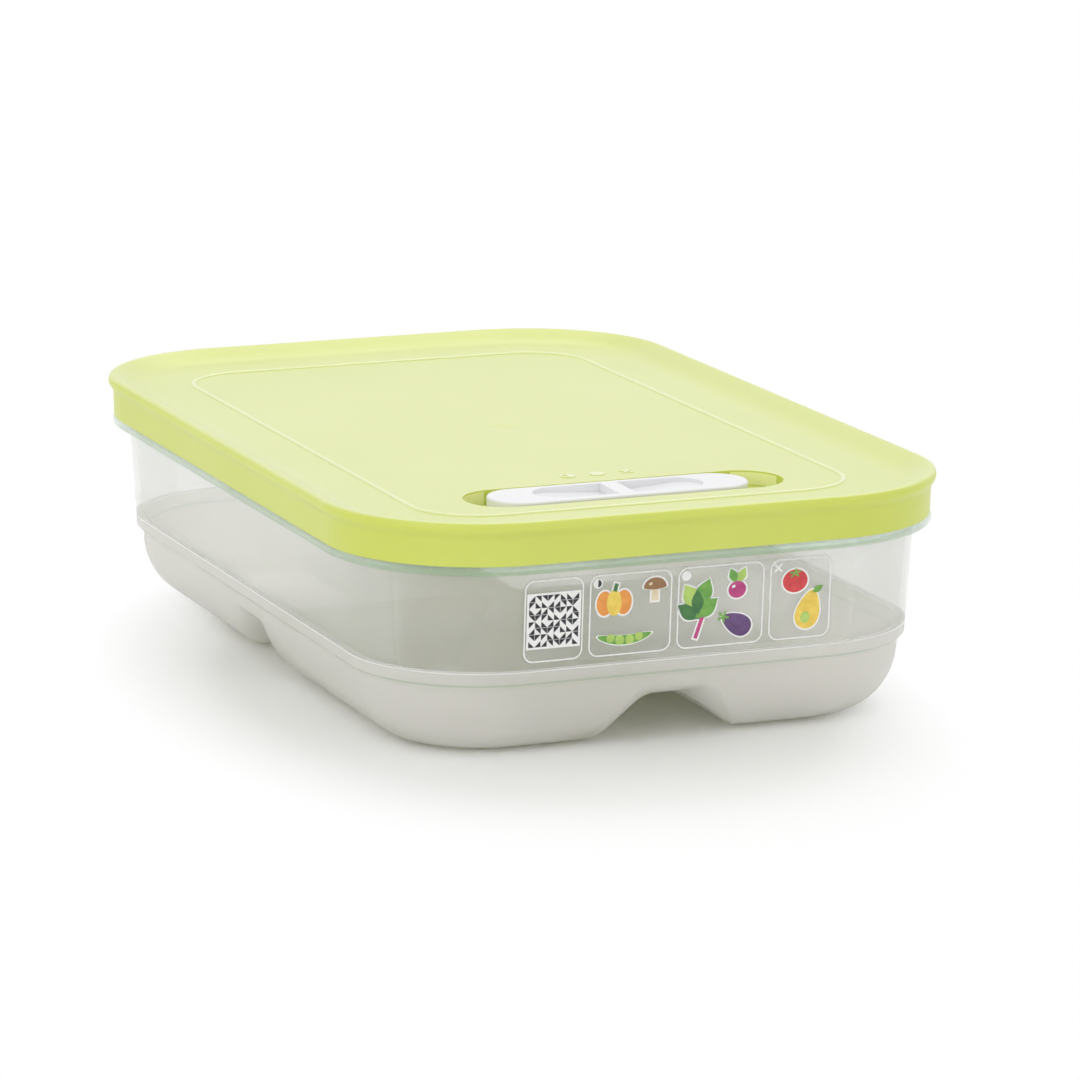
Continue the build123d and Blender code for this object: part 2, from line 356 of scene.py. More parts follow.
def start_material(name: str) -> tuple[bpy.types.Material, Graph, bpy.types.Node]:
    """Makes a material with a Principled shader.

    Args:
        name: The material's name.

    Returns:
        The material, its graph and the shader node.
    """
    material = bpy.data.materials.new(name)
    material.use_nodes = True
    graph = Graph(material.node_tree)
    shader = graph.add("ShaderNodeBsdfPrincipled")
    output = graph.add("ShaderNodeOutputMaterial")
    graph.link(shader.outputs["BSDF"], output.inputs["Surface"])
    return material, graph, shader


def add_bump(graph: Graph, shader: bpy.types.Node, scale: float, depth: float) -> None:
    """Gives a shader the fine unevenness of moulded plastic.

    Args:
        graph: The material's graph.
        shader: The shader that gets the normal.
        scale: The grain's scale, per metre.
        depth: The grain's depth in metres.
    """
    bump = graph.add("ShaderNodeBump")
    bump.inputs["Strength"].default_value = 1.0
    bump.inputs["Distance"].default_value = depth
    graph.link(SharedEffect.MOULD_GRAIN.place(graph, Scale=scale), bump.inputs["Height"])
    graph.link(bump.outputs["Normal"], shader.inputs["Normal"])


@dataclass(frozen=True)
class SolidPlastic:
    """An opaque moulded plastic with a little drift in tone and gloss.

    Attributes:
        name: The material's name.
        pale: The colour where the pigment is thinnest.
        deep: The colour where it is thickest.
        smooth: The lowest roughness.
        worn: The highest roughness.
        grain_scale: The moulded grain's scale, per metre.
        grain_depth: The moulded grain's depth in metres.
        glow: How much light the plastic scatters inside itself.
        sheen_coat: How much gloss lies over the surface, seen most at a low angle.
        coat_roughness: The roughness of that gloss.
        tone_scale: Scale of the drift in tone, per metre.
        gloss_scale: Scale of the drift in gloss, per metre.
        glow_reach: How far red, green and blue light go inside, as shares of the depth.
        glow_depth: How deep light goes inside, in metres.
    """

    name: str
    pale: Colour
    deep: Colour
    smooth: float = 0.3
    worn: float = 0.4
    grain_scale: float = 900.0
    grain_depth: float = 0.00002
    glow: float = 0.0
    sheen_coat: float = 0.0
    coat_roughness: float = 0.32
    tone_scale: float = 14.0
    gloss_scale: float = 30.0
    glow_reach: Colour = (0.6, 0.7, 0.25)
    glow_depth: float = 0.004

    def build(self) -> bpy.types.Material:
        """Makes the material."""
        material, graph, shader = start_material(self.name)
        low, high = (*self.pale, 1.0), (*self.deep, 1.0)
        tone = SharedEffect.TONE_DRIFT.place(graph, Scale=self.tone_scale, Low=low, High=high)
        gloss = SharedEffect.GLOSS_DRIFT.place(graph, Scale=self.gloss_scale, Low=self.smooth, High=self.worn)
        graph.link(self.tint(graph, tone), shader.inputs["Base Color"])
        graph.link(gloss, shader.inputs["Roughness"])
        shader.inputs["IOR"].default_value = PLASTIC_IOR
        shader.inputs["Coat Roughness"].default_value = self.coat_roughness
        self.add_coat(graph, shader)
        shader.inputs["Subsurface Weight"].default_value = self.glow
        shader.inputs["Subsurface Radius"].default_value = self.glow_reach
        shader.inputs["Subsurface Scale"].default_value = self.glow_depth
        add_bump(graph, shader, self.grain_scale, self.grain_depth)
        return material

    def add_coat(self, graph: Graph, shader: bpy.types.Node) -> None:
        """Lays the sheen over the surface, evenly on a plain moulding.

        Args:
            graph: The material's graph.
            shader: The shader that gets the coat.
        """
        shader.inputs["Coat Weight"].default_value = self.sheen_coat

    def tint(self, graph: Graph, tone: bpy.types.NodeSocket) -> bpy.types.NodeSocket:
        """Changes the tone where the moulding asks for it, which a plain moulding doesn't.

        Args:
            graph: The material's graph.
            tone: The socket of the drifting tone.

        Returns:
            The colour's socket.
        """
        return tone


@dataclass(frozen=True)
class LidPlastic(SolidPlastic):
    """The lid's plastic, with a painted highlight on the panel's raised lines and painted light on the walls
    of the vent's recess.

    Attributes:
        line_painted_highlight: The painted highlight on the raised lines, paler than the lid.
        line_height: Height above the floor from which a line counts as raised.
        panel_half: Half width and half length of the area that holds the lines.
        pan_painted_light: The painted light on the walls of the vent's recess, paler than the lid to lift the
            shade there.
        pan_span: Heights between which those walls lie.
        pan_place: The recess's middle.
        pan_half: Half length and half width of the recess.
        skirt_coat: The sheen on upright faces, which are duller than the top.
        top_slope: How far a face must lean upwards to begin to count as the top, and to count in full.
    """

    # Painted highlight: the raised lines are paler than the lid so they look as if they catch the light.
    line_painted_highlight: Colour = (0.76, 0.81, 0.42)
    line_height: float = 0.06914
    panel_half: Point = (0.070, 0.120)
    # Painted light: the recess's walls are paler than the lid to lift the shade that falls in the recess.
    pan_painted_light: Colour = (0.90, 0.94, 0.46)
    pan_span: Point = (0.0648, 0.0686)
    pan_place: Point = (-0.0005, -0.097)
    pan_half: Point = (0.0506, 0.0126)
    skirt_coat: float = 0.1
    top_slope: Point = (0.35, 0.85)

    def add_coat(self, graph: Graph, shader: bpy.types.Node) -> None:
        """Lays the sheen over the top, and little of it on the skirt.

        Args:
            graph: The material's graph.
            shader: The shader that gets the coat.
        """
        place = graph.add("ShaderNodeTexCoord")
        axes = graph.add("ShaderNodeSeparateXYZ")
        graph.link(place.outputs["Normal"], axes.inputs[0])
        coat = graph.spread(axes.outputs["Z"], self.top_slope, (self.skirt_coat, self.sheen_coat))
        graph.link(coat, shader.inputs["Coat Weight"])

    def tint(self, graph: Graph, tone: bpy.types.NodeSocket) -> bpy.types.NodeSocket:
        """Paints a highlight on the raised lines and paints light on the recess's walls.

        Args:
            graph: The material's graph.
            tone: The socket of the drifting tone.

        Returns:
            The colour's socket.
        """
        place = graph.add("ShaderNodeTexCoord")
        axes = graph.add("ShaderNodeSeparateXYZ")
        graph.link(place.outputs["Object"], axes.inputs[0])
        raised = graph.calculate("GREATER_THAN", axes.outputs["Z"], self.line_height)
        low, high = self.pan_span
        above = graph.calculate("GREATER_THAN", axes.outputs["Z"], low)
        below = graph.calculate("LESS_THAN", axes.outputs["Z"], high)
        sunk = graph.calculate("MULTIPLY", above, below)
        lines = self.within(graph, axes, raised, (0.0, 0.0), self.panel_half)
        pan = self.within(graph, axes, sunk, self.pan_place, self.pan_half)
        # Painted highlight on the raised lines, painted light on the recess's walls.
        return graph.blend(pan, graph.blend(lines, tone, self.line_painted_highlight), self.pan_painted_light)

    def within(
        self, graph: Graph, axes: bpy.types.Node, mask: bpy.types.NodeSocket, middle: Point, half: Point
    ) -> bpy.types.NodeSocket:
        """Narrows a mask to a rectangle seen from above.

        Args:
            graph: The material's graph.
            axes: The node that gives the three coordinates.
            mask: The mask to narrow.
            middle: The rectangle's middle.
            half: Half its size along X and along Y.

        Returns:
            The narrowed mask's socket.
        """
        for name, centre, reach in zip(("X", "Y"), middle, half):
            shifted = graph.calculate("SUBTRACT", axes.outputs[name], centre)
            offset = graph.calculate("ABSOLUTE", shifted)
            inside = graph.calculate("LESS_THAN", offset, reach)
            mask = graph.calculate("MULTIPLY", mask, inside)
        return mask


@dataclass(frozen=True)
class TubPlastic:
    """Translucent plastic, clear on the upper wall and frosted below the step, with a painted highlight at
    the inner ledge and painted refraction of the lid's green under the outer step and on the flange.

    Attributes:
        name: The material's name.
        clear: The upper wall's colour.
        frost: The lower body's colour.
        rim_refraction: The lid's green painted on the flange as refraction, next to the lid.
        frost_low: Height above the floor up to which all is frosted.
        frost_high: Height from which all is clear.
        rim_refraction_rise: Heights over which that painted green comes in.
        rim_refraction_fall: Heights over which it goes out again.
        clear_gloss: The upper wall's roughness.
        frost_gloss: The lower body's roughness.
        passing: How much of the light the plastic lets through.
        clear_cover: How much of the upper wall's haze hides what is behind it.
        frost_cover: How much the frosted body hides what is behind it.
        ledge_highlight: The painted highlight, a bright line where the wall's inside steps in.
        ledge_highlight_span: Heights between which that painted highlight lies.
        brink_refraction: The painted refraction of the lid's green, a darker thin line under the outer step.
        brink_refraction_span: Heights between which that painted line lies.
        line_edge: How softly both lines end.
        bend: The plastic's index of refraction.
        grain_scale: The moulded grain's scale, per metre.
        grain_depth: The moulded grain's depth in metres.
    """

    name: str = "tub_plastic_finish"
    clear: Colour = (0.97, 0.975, 0.955)
    frost: Colour = (0.965, 0.945, 0.915)
    # Painted refraction of the lid's green on the clear flange.
    rim_refraction: Colour = (0.50, 0.76, 0.55)
    frost_low: float = 0.0263
    frost_high: float = 0.0272
    rim_refraction_rise: Point = (0.0555, 0.0575)
    rim_refraction_fall: Point = (0.0594, 0.0604)
    clear_gloss: float = 0.16
    frost_gloss: float = 0.42
    passing: float = 0.5
    clear_cover: float = 0.36
    frost_cover: float = 0.74
    # Painted highlight along the inner ledge.
    ledge_highlight: Colour = (1.0, 1.0, 0.99)
    ledge_highlight_span: Point = (0.0262, 0.0271)
    # Painted refraction of the lid's green, darker, under the outer step.
    brink_refraction: Colour = (0.70, 0.77, 0.69)
    brink_refraction_span: Point = (0.0222, 0.0233)
    line_edge: float = 0.0003
    bend: float = 1.49
    grain_scale: float = 120.0
    grain_depth: float = 0.000004

    def build(self) -> bpy.types.Material:
        """Makes the material."""
        material, graph, shader = start_material(self.name)
        upper = SharedEffect.HEIGHT_MASK.place(graph, Low=self.frost_low, High=self.frost_high)
        # Painted highlight: a bright line where the wall's inside steps in.
        ledge_highlight = self.line(graph, self.ledge_highlight_span)
        # Painted refraction: a darker greenish line under the outer step stands in for the lid's colour seen
        # through it.
        brink_refraction = self.line(graph, self.brink_refraction_span)
        # Painted refraction: the flange is tinted with the lid's green that shows through it.
        rim_refraction = self.band(graph, self.rim_refraction_rise, self.rim_refraction_fall)
        body = graph.blend(upper, self.frost, self.clear)
        body = graph.blend(brink_refraction, body, self.brink_refraction)
        body = graph.blend(ledge_highlight, body, self.ledge_highlight)
        graph.link(graph.blend(rim_refraction, body, self.rim_refraction), shader.inputs["Base Color"])
        gloss = graph.spread(upper, (0.0, 1.0), (self.frost_gloss, self.clear_gloss))
        graph.link(gloss, shader.inputs["Roughness"])
        cover = graph.spread(upper, (0.0, 1.0), (self.frost_cover, self.clear_cover))
        # The painted highlight line is also made more opaque.
        graph.link(graph.calculate("MAXIMUM", cover, ledge_highlight), shader.inputs["Alpha"])
        shader.inputs["Transmission Weight"].default_value = self.passing
        shader.inputs["IOR"].default_value = self.bend
        add_bump(graph, shader, self.grain_scale, self.grain_depth)
        return material

    def line(self, graph: Graph, span: Point) -> bpy.types.NodeSocket:
        """Gives the mask of one thin line round the tub.

        Args:
            graph: The material's graph.
            span: The heights between which the line lies.

        Returns:
            The mask's socket.
        """
        low, high = span
        return self.band(graph, (low, low + self.line_edge), (high - self.line_edge, high))

    def band(self, graph: Graph, rise: Point, fall: Point) -> bpy.types.NodeSocket:
        """Gives a mask that is 1 between two heights above the floor.

        Args:
            graph: The material's graph.
            rise: The heights over which the mask goes from 0 to 1.
            fall: The heights over which it goes back to 0.

        Returns:
            The mask's socket.
        """
        begun = SharedEffect.HEIGHT_MASK.place(graph, Low=rise[0], High=rise[1])
        ended = SharedEffect.HEIGHT_MASK.place(graph, Low=fall[0], High=fall[1])
        return graph.calculate("SUBTRACT", begun, ended)


@dataclass(frozen=True)
class ClearFilm:
    """The label's clear film, a little glossier than the wall behind it.

    Attributes:
        name: The material's name.
        tint: The film's colour.
        least: The lowest opacity.
        most: The highest opacity.
        drift: The darkest tone as a share of the tint.
        drift_scale: Scale of the drift in tone, per metre.
        veil_scale: Scale of the drift in opacity, per metre.
        gloss: The film's roughness.
    """

    name: str = "label_film_finish"
    tint: Colour = (0.78, 0.78, 0.77)
    least: float = 0.10
    most: float = 0.16
    drift: float = 0.96
    drift_scale: float = 60.0
    veil_scale: float = 50.0
    gloss: float = 0.25

    def build(self) -> bpy.types.Material:
        """Makes the material."""
        material, graph, shader = start_material(self.name)
        low, high = (*self.tint, 1.0), (*(self.drift * part for part in self.tint), 1.0)
        tone = SharedEffect.TONE_DRIFT.place(graph, Scale=self.drift_scale, Low=low, High=high)
        graph.link(tone, shader.inputs["Base Color"])
        veil = SharedEffect.GLOSS_DRIFT.place(graph, Scale=self.veil_scale, Low=self.least, High=self.most)
        graph.link(veil, shader.inputs["Alpha"])
        shader.inputs["Roughness"].default_value = self.gloss
        return material


INK_TONE_SCALE = 450.0
INK_GLOSS_SCALE = 200.0
INK_GLOSS = (0.35, 0.5)


class Ink(Enum):
    """The label's inks: a pale and a deep colour each."""

    WHITE = ((0.88, 0.88, 0.87), (0.82, 0.82, 0.81))
    BLACK = ((0.035, 0.035, 0.04), (0.02, 0.02, 0.025))
    LEAF = ((0.20, 0.44, 0.08), (0.12, 0.33, 0.06))
    MOSS = ((0.07, 0.22, 0.06), (0.04, 0.15, 0.05))
    LIGHT_GREEN = ((0.48, 0.66, 0.16), (0.38, 0.56, 0.12))
    CREAM = ((0.80, 0.70, 0.50), (0.70, 0.58, 0.38))
    MAGENTA = ((0.56, 0.07, 0.24), (0.42, 0.04, 0.18))
    RED = ((0.70, 0.07, 0.07), (0.55, 0.04, 0.05))
    ORANGE = ((0.85, 0.36, 0.08), (0.74, 0.27, 0.05))
    YELLOW = ((0.88, 0.66, 0.12), (0.78, 0.53, 0.08))
    PURPLE = ((0.16, 0.08, 0.22), (0.10, 0.05, 0.15))
    BROWN = ((0.36, 0.20, 0.09), (0.27, 0.14, 0.06))

    def material(self) -> bpy.types.Material:
        """Gives the ink's material, and makes it the first time."""
        name = f"ink_{self.name.lower()}"
        found = bpy.data.materials.get(name)
        if found:
            return found
        material, graph, shader = start_material(name)
        pale, deep = self.value
        low, high = (*pale, 1.0), (*deep, 1.0)
        tone = SharedEffect.TONE_DRIFT.place(graph, Scale=INK_TONE_SCALE, Low=low, High=high)
        graph.link(tone, shader.inputs["Base Color"])
        smooth, rough = INK_GLOSS
        gloss = SharedEffect.GLOSS_DRIFT.place(graph, Scale=INK_GLOSS_SCALE, Low=smooth, High=rough)
        graph.link(gloss, shader.inputs["Roughness"])
        return material


# Printed shapes


class Form(Enum):
    """The outlines that the label's motifs are put together from."""

    OVAL = "oval"
    LEAF = "leaf"
    PEAR = "pear"
    DOME = "dome"
    CRESCENT = "crescent"
    STAR = "star"
    BLOCK = "block"
    TRIANGLE = "triangle"
    HALF = "half"

    def outline(self, width: float, height: float) -> list[Point]:
        """Gives the form's outline, centred on its own middle.

        Args:
            width: The form's width in metres.
            height: The form's height in metres.

        Returns:
            The outline's points, anticlockwise.
        """
        if self is Form.BLOCK:
            unit = [(-0.5, -0.5), (0.5, -0.5), (0.5, 0.5), (-0.5, 0.5)]
        elif self is Form.TRIANGLE:
            unit = [(-0.5, -0.5), (0.5, -0.5), (-0.5, 0.5)]
        else:
            unit = [self.unit_point(2 * math.pi * k / OUTLINE_STEPS) for k in range(OUTLINE_STEPS)]
        return [(x * width, y * height) for x, y in unit]

    def unit_point(self, angle: float) -> Point:
        """Gives one point of a round form's outline in a box one wide and one high.

        Args:
            angle: The point's angle round the form, in radians.

        Returns:
            The point.
        """
        x, y = 0.5 * math.cos(angle), 0.5 * math.sin(angle)
        if self is Form.LEAF:
            return x * math.cos(math.pi * y) ** 0.8 if abs(y) < 0.499 else 0.0, y
        if self is Form.PEAR:
            return x * (0.78 - 0.5 * y), y
        if self is Form.DOME:
            return x, y if y > 0 else 0.25 * y
        if self is Form.CRESCENT:
            return x, 0.45 * y + 0.9 * (x * x) - 0.1
        if self is Form.STAR:
            reach = 0.62 + 0.38 * math.cos(5 * angle)
            return x * reach, y * reach
        if self is Form.HALF:
            return max(x, 0.0), y
        return x, y


OUTLINE_STEPS = 40


@dataclass(frozen=True)
class Shape:
    """One inked shape of a motif, in millimetres from the motif's middle.

    Attributes:
        form: The outline.
        ink: The ink.
        x: Place across.
        y: Place upwards.
        width: Width before the turn.
        height: Height before the turn.
        turn: Turn anticlockwise in degrees.
        edged: Whether a white edge shows round the shape.
    """

    form: Form
    ink: Ink
    x: float
    y: float
    width: float
    height: float
    turn: float = 0.0
    edged: bool = True


@dataclass(frozen=True)
class Motif:
    """A small printed picture.

    Attributes:
        name: The piece's name.
        x: Place across the label in millimetres from its middle.
        y: Place up the label in millimetres from its middle.
        size: Scale of the shapes.
        shapes: The shapes, lowest first.
    """

    name: str
    x: float
    y: float
    size: float
    shapes: tuple[Shape, ...]


@dataclass(frozen=True)
class Panel:
    """A rounded panel of the label.

    Attributes:
        left: The left side, in millimetres from the label's middle.
        right: The right side, in millimetres from the label's middle.
    """

    left: float
    right: float


def flat_form(outline: Sequence[Point], low: float, rise: float, ink: Ink) -> bpy.types.Object:
    """Makes a thin plate of ink from an outline.

    Args:
        outline: The outline's points in the label's plane, in metres.
        low: Height of its underside above the film.
        rise: Its thickness.
        ink: Its ink.

    Returns:
        The plate, in the label's plane.
    """
    deselect_all()
    bpy.ops.mesh.primitive_circle_add(vertices=len(outline), radius=1.0, fill_type="NGON")
    plate = bpy.context.object
    for vertex, (x, y) in zip(plate.data.vertices, outline):
        vertex.co = (x, y, low)
    bpy.ops.object.mode_set(mode="EDIT")
    bpy.ops.mesh.select_all(action="SELECT")
    bpy.ops.mesh.remove_doubles(threshold=MERGE_DISTANCE)
    bpy.ops.mesh.extrude_region_move(TRANSFORM_OT_translate={"value": (0.0, 0.0, rise)})
    bpy.ops.mesh.select_all(action="SELECT")
    bpy.ops.mesh.normals_make_consistent(inside=False)
    bpy.ops.object.mode_set(mode="OBJECT")
    plate.data.materials.append(ink.material())
    return plate


def rounded_frame(panel: Panel, height: float, corner: float, line: float, rise: float) -> bpy.types.Object:
    """Makes a panel's white outline.

    Args:
        panel: The panel.
        height: The panel's height in metres.
        corner: The outline's outer corner radius.
        line: The outline's width.
        rise: Its thickness.

    Returns:
        The outline, in the label's plane.
    """
    deselect_all()
    bpy.ops.mesh.primitive_plane_add(size=1.0)
    outline = bpy.context.object
    middle = (panel.left + panel.right) / 2 * MM
    for vertex in outline.data.vertices:
        vertex.co.x = vertex.co.x * (panel.right - panel.left) * MM + middle
        vertex.co.y *= height
    bpy.ops.object.mode_set(mode="EDIT")
    bpy.ops.mesh.select_all(action="SELECT")
    bpy.ops.mesh.bevel(affect="VERTICES", offset=corner, segments=FRAME_CORNER_STEPS)
    bpy.ops.mesh.select_all(action="SELECT")
    bpy.ops.mesh.inset(thickness=line, depth=0.0)
    bpy.ops.mesh.delete(type="FACE")
    bpy.ops.mesh.select_all(action="SELECT")
    bpy.ops.mesh.extrude_region_move(TRANSFORM_OT_translate={"value": (0.0, 0.0, rise)})
    bpy.ops.mesh.select_all(action="SELECT")
    bpy.ops.mesh.normals_make_consistent(inside=False)
    bpy.ops.object.mode_set(mode="OBJECT")
    outline.data.materials.append(Ink.WHITE.material())
    return outline


PANELS = (
    Panel(-48.6, -30.2),
    Panel(-28.3, -2.4),
    Panel(-0.5, 27.0),
    Panel(28.9, 48.6),
)

MOTIFS = (
    Motif(
        "print_squash", -20.6, 3.6, 1.0,
        (
            Shape(Form.OVAL, Ink.ORANGE, -3.0, 0.0, 5.0, 7.4),
            Shape(Form.OVAL, Ink.ORANGE, 3.0, 0.0, 5.0, 7.4),
            Shape(Form.OVAL, Ink.YELLOW, 0.0, 0.0, 4.6, 7.8, 0.0, False),
            Shape(Form.BLOCK, Ink.MOSS, 0.4, 4.6, 1.2, 2.4, -14.0),
        ),
    ),
    Motif(
        "print_pea_pod", -17.0, -7.2, 1.0,
        (
            Shape(Form.CRESCENT, Ink.LEAF, 0.0, 0.0, 17.0, 6.4),
            Shape(Form.OVAL, Ink.LIGHT_GREEN, -4.4, 0.1, 2.5, 2.5, 0.0, False),
            Shape(Form.OVAL, Ink.LIGHT_GREEN, -1.5, -0.6, 2.9, 2.9, 0.0, False),
            Shape(Form.OVAL, Ink.LIGHT_GREEN, 1.6, -0.6, 2.9, 2.9, 0.0, False),
            Shape(Form.OVAL, Ink.LIGHT_GREEN, 4.5, 0.1, 2.5, 2.5, 0.0, False),
        ),
    ),
    Motif(
        "print_mushroom", -7.8, 6.8, 0.9,
        (
            Shape(Form.BLOCK, Ink.CREAM, 0.0, -1.8, 2.4, 4.4),
            Shape(Form.DOME, Ink.BROWN, 0.0, 0.6, 8.0, 6.4),
            Shape(Form.OVAL, Ink.CREAM, -1.6, 1.8, 1.4, 1.0, 20.0, False),
        ),
    ),
    Motif(
        "print_leaf_sprig", 6.0, 0.1, 0.92,
        (
            Shape(Form.BLOCK, Ink.MAGENTA, 0.6, -6.6, 1.3, 8.0, -18.0),
            Shape(Form.LEAF, Ink.MOSS, -3.0, -1.4, 5.4, 9.6, 58.0),
            Shape(Form.LEAF, Ink.LEAF, 3.0, -0.6, 5.6, 9.8, -52.0),
            Shape(Form.LEAF, Ink.LIGHT_GREEN, -2.4, 3.6, 5.6, 9.6, 30.0),
            Shape(Form.LEAF, Ink.LEAF, 2.0, 4.6, 5.6, 9.8, -22.0),
            Shape(Form.LEAF, Ink.MOSS, -0.2, 1.6, 4.2, 8.6, 4.0, False),
        ),
    ),
    Motif(
        "print_radish", 18.4, 4.7, 0.85,
        (
            Shape(Form.LEAF, Ink.LEAF, -1.6, 4.6, 3.2, 6.0, 24.0),
            Shape(Form.LEAF, Ink.LIGHT_GREEN, 1.6, 4.6, 3.2, 6.0, -24.0),
            Shape(Form.OVAL, Ink.MAGENTA, 0.0, -0.4, 6.6, 6.0),
            Shape(Form.OVAL, Ink.WHITE, -1.4, 0.8, 1.4, 1.0, 30.0, False),
        ),
    ),
    Motif(
        "print_aubergine", 18.4, -5.4, 0.88,
        (
            Shape(Form.PEAR, Ink.PURPLE, 0.0, -0.6, 9.0, 11.6, 62.0),
            Shape(Form.STAR, Ink.LEAF, -4.8, 2.0, 4.6, 4.6, 62.0, False),
        ),
    ),
    Motif(
        "print_tomato", 37.0, 5.4, 1.0,
        (
            Shape(Form.OVAL, Ink.RED, 0.0, 0.0, 8.0, 7.0),
            Shape(Form.STAR, Ink.LEAF, 0.0, 2.4, 4.4, 2.8, 18.0, False),
        ),
    ),
    Motif(
        "print_pear", 41.6, -3.6, 1.0,
        (
            Shape(Form.PEAR, Ink.YELLOW, 0.0, 0.0, 9.6, 12.0, -14.0),
            Shape(Form.LEAF, Ink.LEAF, 2.8, 6.0, 2.0, 4.0, -60.0, False),
            Shape(Form.OVAL, Ink.LIGHT_GREEN, -1.0, -2.4, 3.0, 3.6, 0.0, False),
        ),
    ),
    Motif(
        "print_state_half", -25.8, 9.8, 1.0,
        (
            Shape(Form.OVAL, Ink.WHITE, 0.0, 0.0, 3.0, 3.0, 0.0, False),
            Shape(Form.HALF, Ink.BLACK, 0.0, 0.0, 2.2, 2.2, 0.0, False),
        ),
    ),
    Motif(
        "print_state_open", 2.0, 9.8, 1.0,
        (Shape(Form.OVAL, Ink.WHITE, 0.0, 0.0, 3.0, 3.0, 0.0, False),),
    ),
    Motif(
        "print_state_closed", 31.4, 9.8, 1.0,
        (
            Shape(Form.BLOCK, Ink.WHITE, 0.0, 0.0, 3.4, 0.6, 45.0, False),
            Shape(Form.BLOCK, Ink.WHITE, 0.0, 0.0, 3.4, 0.6, -45.0, False),
        ),
    ),
)


@dataclass
class LabelPrint:
    """The print on the film: rounded panels, small pictures and a tile of triangles.

    Attributes:
        film_thickness: The film's thickness.
        ink_rise: One ink layer's thickness.
        panel_height: Height of the panels.
        corner: Corner radius of the panels' outlines.
        line: Width of the panels' outlines.
        edge: Width of the white edge round a motif.
        tile_side: Side of the patterned tile.
        tile_cells: Cells along the tile's side.
        tile_margin: White margin round the pattern.
        cell_fill: A triangle's side as a share of its cell's.
    """

    film_thickness: float = 0.2 * MM
    ink_rise: float = 0.02 * MM
    panel_height: float = 24.7 * MM
    corner: float = 3.0 * MM
    line: float = 0.42 * MM
    edge: float = 0.55
    tile_side: float = 15.6 * MM
    tile_cells: int = 8
    tile_margin: float = 0.6 * MM
    cell_fill: float = 0.94

    def placement(self) -> Matrix:
        """Gives the plane of the film's outer face: x across, y up, z outwards."""
        low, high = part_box("storage_label")
        rise = high[2] - low[2]
        run = high[1] - low[1]
        lean = math.atan2(run - self.film_thickness, rise)
        outward = Vector((0.0, -math.cos(lean), -math.sin(lean)))
        upward = Vector((0.0, -math.sin(lean), math.cos(lean)))
        middle = (Vector(low) + Vector(high)) / 2 + outward * self.film_thickness / 2
        across = Vector((1.0, 0.0, 0.0))
        turn = Matrix((across, upward, outward)).transposed().to_4x4()
        return Matrix.Translation(middle) @ turn

    def finish(self, pieces: Sequence[bpy.types.Object], name: str) -> None:
        """Joins, places and attaches one printed piece to the container.

        Args:
            pieces: The meshes in the label's plane.
            name: The piece's name.
        """
        piece = join(pieces, name)
        settle(piece, self.placement())
        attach(piece, "container")
        log.info("%s: %d faces", name, len(piece.data.polygons))

    def shape(self, motif: Motif, shape: Shape, layer: int) -> Iterable[bpy.types.Object]:
        """Makes a motif's shape and the white edge under it.

        Args:
            motif: The motif.
            shape: The shape.
            layer: How many ink layers lie under it.

        Yields:
            The plates.
        """
        cosine, sine = math.cos(math.radians(shape.turn)), math.sin(math.radians(shape.turn))
        growths = [(0.0, shape.ink, layer)]
        if shape.edged:
            growths.append((self.edge, Ink.WHITE, 0))
        for growth, ink, level in growths:
            width = (shape.width * motif.size + 2 * growth) * MM
            height = (shape.height * motif.size + 2 * growth) * MM
            outline = []
            for x, y in shape.form.outline(width, height):
                across = (motif.x + shape.x * motif.size) * MM + x * cosine - y * sine
                upward = (motif.y + shape.y * motif.size) * MM + x * sine + y * cosine
                outline.append((across, upward))
            yield flat_form(outline, level * self.ink_rise, self.ink_rise, ink)

    def build_motif(self, motif: Motif) -> None:
        """Builds one motif.

        Args:
            motif: The motif.
        """
        plates = []
        for layer, shape in enumerate(motif.shapes, start=1):
            plates.extend(self.shape(motif, shape, layer))
        self.finish(plates, motif.name)

    def build_tile(self, panel: Panel) -> None:
        """Builds the white tile with its black triangles, turned cell by cell like a quilt.

        Args:
            panel: The panel that the tile stands in.
        """
        middle = (panel.left + panel.right) / 2 * MM
        half = self.tile_side / 2
        side = half + self.tile_margin
        left, right = middle - side, middle + side
        corners = [(left, -side), (right, -side), (right, side), (left, side)]
        plates = [flat_form(corners, 0.0, self.ink_rise, Ink.WHITE)]
        cell = self.tile_side / self.tile_cells
        leg = cell * self.cell_fill
        for row in range(self.tile_cells):
            for column in range(self.tile_cells):
                quarter = row // 2 + column // 2 + (row % 2) * 2 + column % 2
                turn = math.radians(90 * (quarter % 4))
                x = middle - half + (column + 0.5) * cell
                y = -half + (row + 0.5) * cell
                outline = []
                for u, v in Form.TRIANGLE.outline(leg, leg):
                    across = x + u * math.cos(turn) - v * math.sin(turn)
                    upward = y + u * math.sin(turn) + v * math.cos(turn)
                    outline.append((across, upward))
                plates.append(flat_form(outline, self.ink_rise, self.ink_rise, Ink.BLACK))
        self.finish(plates, "print_tile")

    def build(self) -> None:
        """Builds the whole print and dresses the film."""
        frames = []
        for panel in PANELS:
            frames.append(rounded_frame(panel, self.panel_height, self.corner, self.line, self.ink_rise))
        self.finish(frames, "print_panel_outlines")
        self.build_tile(PANELS[0])
        for motif in MOTIFS:
            self.build_motif(motif)
        dress("storage_label", ClearFilm().build())


def dress(node: str, material: bpy.types.Material) -> None:
    """Gives a construction node its finish.

    Args:
        node: The node's name.
        material: The finish.
    """
    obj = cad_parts[node]
    for slot in obj.material_slots:
        slot.material = material
    log.info("%s: %s", node, material.name)


